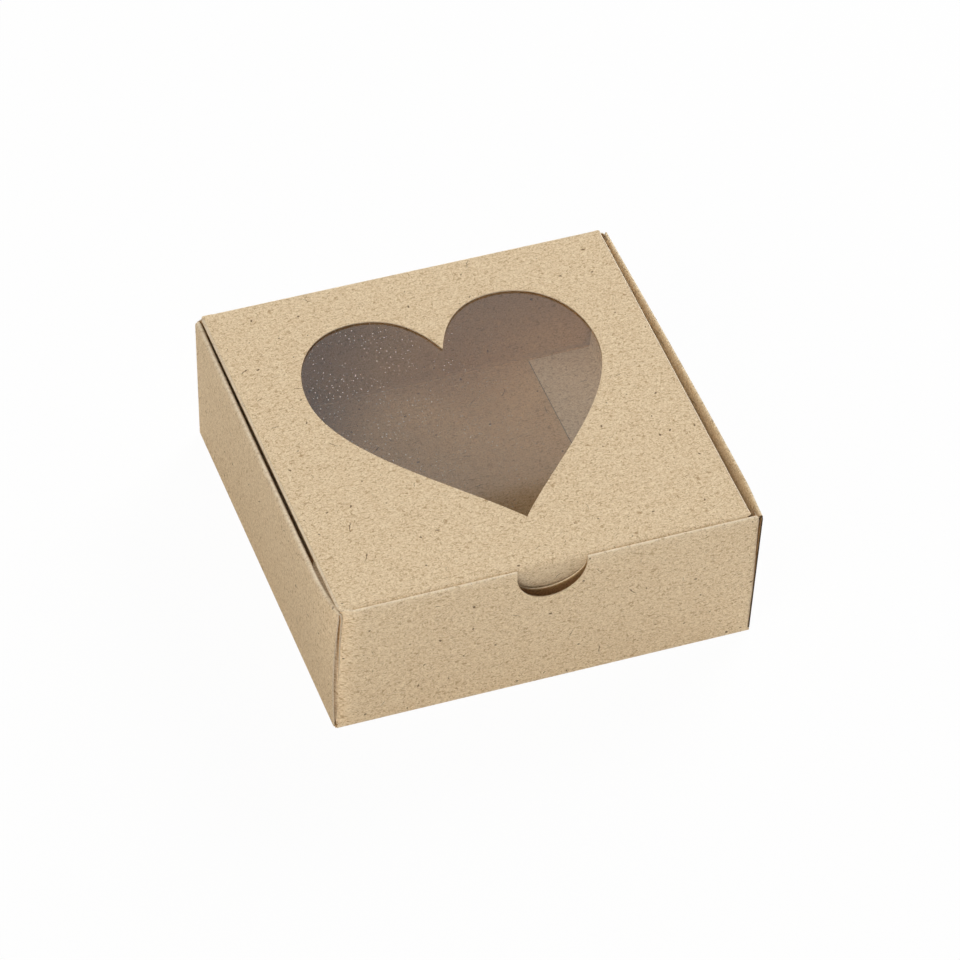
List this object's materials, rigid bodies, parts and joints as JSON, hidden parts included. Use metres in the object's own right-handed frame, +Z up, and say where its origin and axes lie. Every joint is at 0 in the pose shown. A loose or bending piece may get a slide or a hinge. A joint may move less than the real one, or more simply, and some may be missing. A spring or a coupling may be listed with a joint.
{
  "type": "window gift box",
  "caption": "Square kraft board gift box with rolled double side walls, a thumb notch in the folded front edge and a hinged tuck lid with a heart-shaped film window.",
  "frame": {"origin": "middle of the underside", "axes": "+Z up, the front wall with the thumb notch faces -Y, +X is to the right seen from the front"},
  "size_m": [0.1016, 0.0988, 0.0375],
  "materials": {
    "kraft_facing": "uncoated",
    "kraft_lining": "uncoated",
    "crease": "worn",
    "clear_film": "gloss",
    "glue": "satin"
  },
  "bodies": {
    "tray": {"bottom_panel": "kraft_lining", "front_wall": "kraft_facing", "front_hem": "kraft_lining", "back_wall": "kraft_facing", "right_side_wall": "kraft_facing", "left_side_wall": "kraft_facing", "right_top_fold": "kraft_facing", "left_top_fold": "kraft_facing", "right_inner_wall": "kraft_lining", "left_inner_wall": "kraft_lining", "right_floor_flange": "kraft_lining", "left_floor_flange": "kraft_lining", "right_front_corner_flap": "kraft_lining", "left_front_corner_flap": "kraft_lining", "right_back_corner_flap": "kraft_lining", "left_back_corner_flap": "kraft_lining", "lid_crease": "crease"},
    "lid": {"lid_panel": "kraft_facing", "window_film": "clear_film", "film_glue": "glue"},
    "flap": {"flap_crease": "crease", "tuck_flap": "kraft_facing"},
    "right_side_ear": {"right_ear_crease": "crease", "right_ear": "kraft_facing"},
    "left_side_ear": {"left_ear_crease": "crease", "left_ear": "kraft_facing"}
  },
  "joints": [
    {"name": "lid_hinge", "type": "hinge", "parent": "tray", "child": "lid", "pos_m": [0, 0.049, 0.0371], "axis": [-1, 0, 0], "range_deg": [0, 180]},
    {"name": "tuck_flap_hinge", "type": "hinge", "parent": "lid", "child": "flap", "pos_m": [0, -0.0478, 0.0371], "axis": [1, 0, 0], "range_deg": [0, 62]},
    {"name": "right_ear_hinge", "type": "hinge", "parent": "lid", "child": "right_side_ear", "pos_m": [0.0488, 0, 0.0371], "axis": [0, 1, 0], "range_deg": [0, 75]},
    {"name": "left_ear_hinge", "type": "hinge", "parent": "lid", "child": "left_side_ear", "pos_m": [-0.0488, 0, 0.0371], "axis": [0, -1, 0], "range_deg": [0, 75]}
  ]
}
